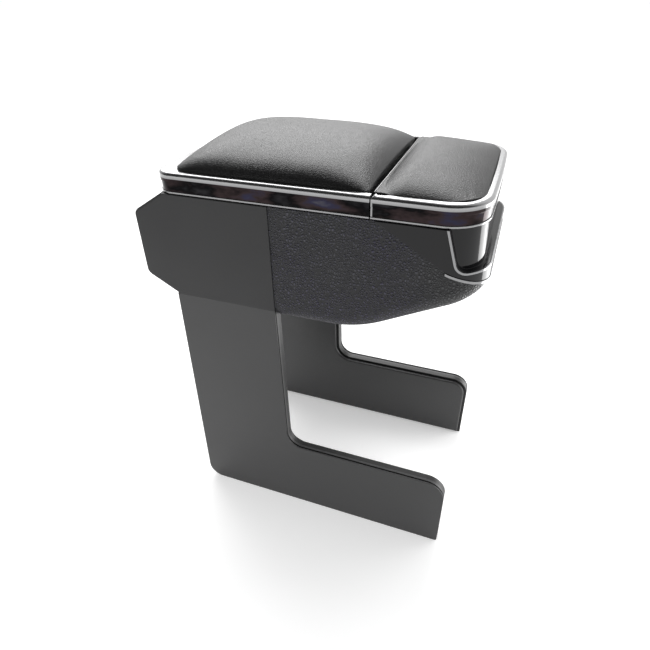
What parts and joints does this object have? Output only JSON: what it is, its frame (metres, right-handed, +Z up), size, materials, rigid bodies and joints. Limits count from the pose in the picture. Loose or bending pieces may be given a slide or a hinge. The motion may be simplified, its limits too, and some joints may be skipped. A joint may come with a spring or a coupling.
{
  "type": "center console",
  "caption": "Car center console: a padded split-lid armrest box on L-shaped side legs, with a storage bin, a front tray and a finger scoop in its gloss nose.",
  "frame": {"origin": "centre of the bounding box at floor level, under the feet", "axes": "+X to the front (the scoop end), +Y to the left side, +Z up"},
  "size_m": [0.256, 0.1512, 0.3291],
  "materials": {
    "leg_plastic": "fine matte grain",
    "housing_plastic": "smooth matte",
    "grained_plastic": "leather grain",
    "gloss_black": "polished",
    "bright_trim": "plated",
    "leather": "soft satin",
    "liner_plastic": "matte",
    "mat": "matte",
    "buffer_rubber": "matte",
    "steel": "satin"
  },
  "bodies": {
    "base": {"right_leg_shell": "leg_plastic", "right_leg_cover": "leg_plastic", "left_leg_shell": "leg_plastic", "left_leg_cover": "leg_plastic", "rear_housing": "housing_plastic", "leg_screws": "steel", "front_hull": "grained_plastic", "hull_screws": "steel", "front_fascia": "gloss_black", "scoop_trim": "bright_trim", "lower_trim": "bright_trim", "storage_bin": "liner_plastic", "bin_mat": "mat", "front_tray": "liner_plastic", "tray_mat": "mat", "front_hinge_rod": "steel", "right_fixed_leaf": "steel", "left_fixed_leaf": "steel", "right_hinge_pin": "steel", "left_hinge_pin": "steel", "lid_buffers": "buffer_rubber"},
    "rear_lid": {"rear_lid_frame": "bright_trim", "rear_lid_panel": "liner_plastic", "rear_pad": "leather", "right_lid_leaf": "steel", "left_lid_leaf": "steel"},
    "front_lid": {"front_lid_frame": "bright_trim", "front_lid_panel": "liner_plastic", "front_pad": "leather"}
  },
  "joints": [
    {"name": "rear_lid_hinge", "type": "hinge", "parent": "base", "child": "rear_lid", "pos_m": [-0.10975, 0, 0.298], "axis": [0, -1, 0], "range_deg": [0, 100]},
    {"name": "front_lid_hinge", "type": "hinge", "parent": "base", "child": "front_lid", "pos_m": [0.05435, 0, 0.3071], "axis": [0, -1, 0], "range_deg": [0, 75]}
  ]
}
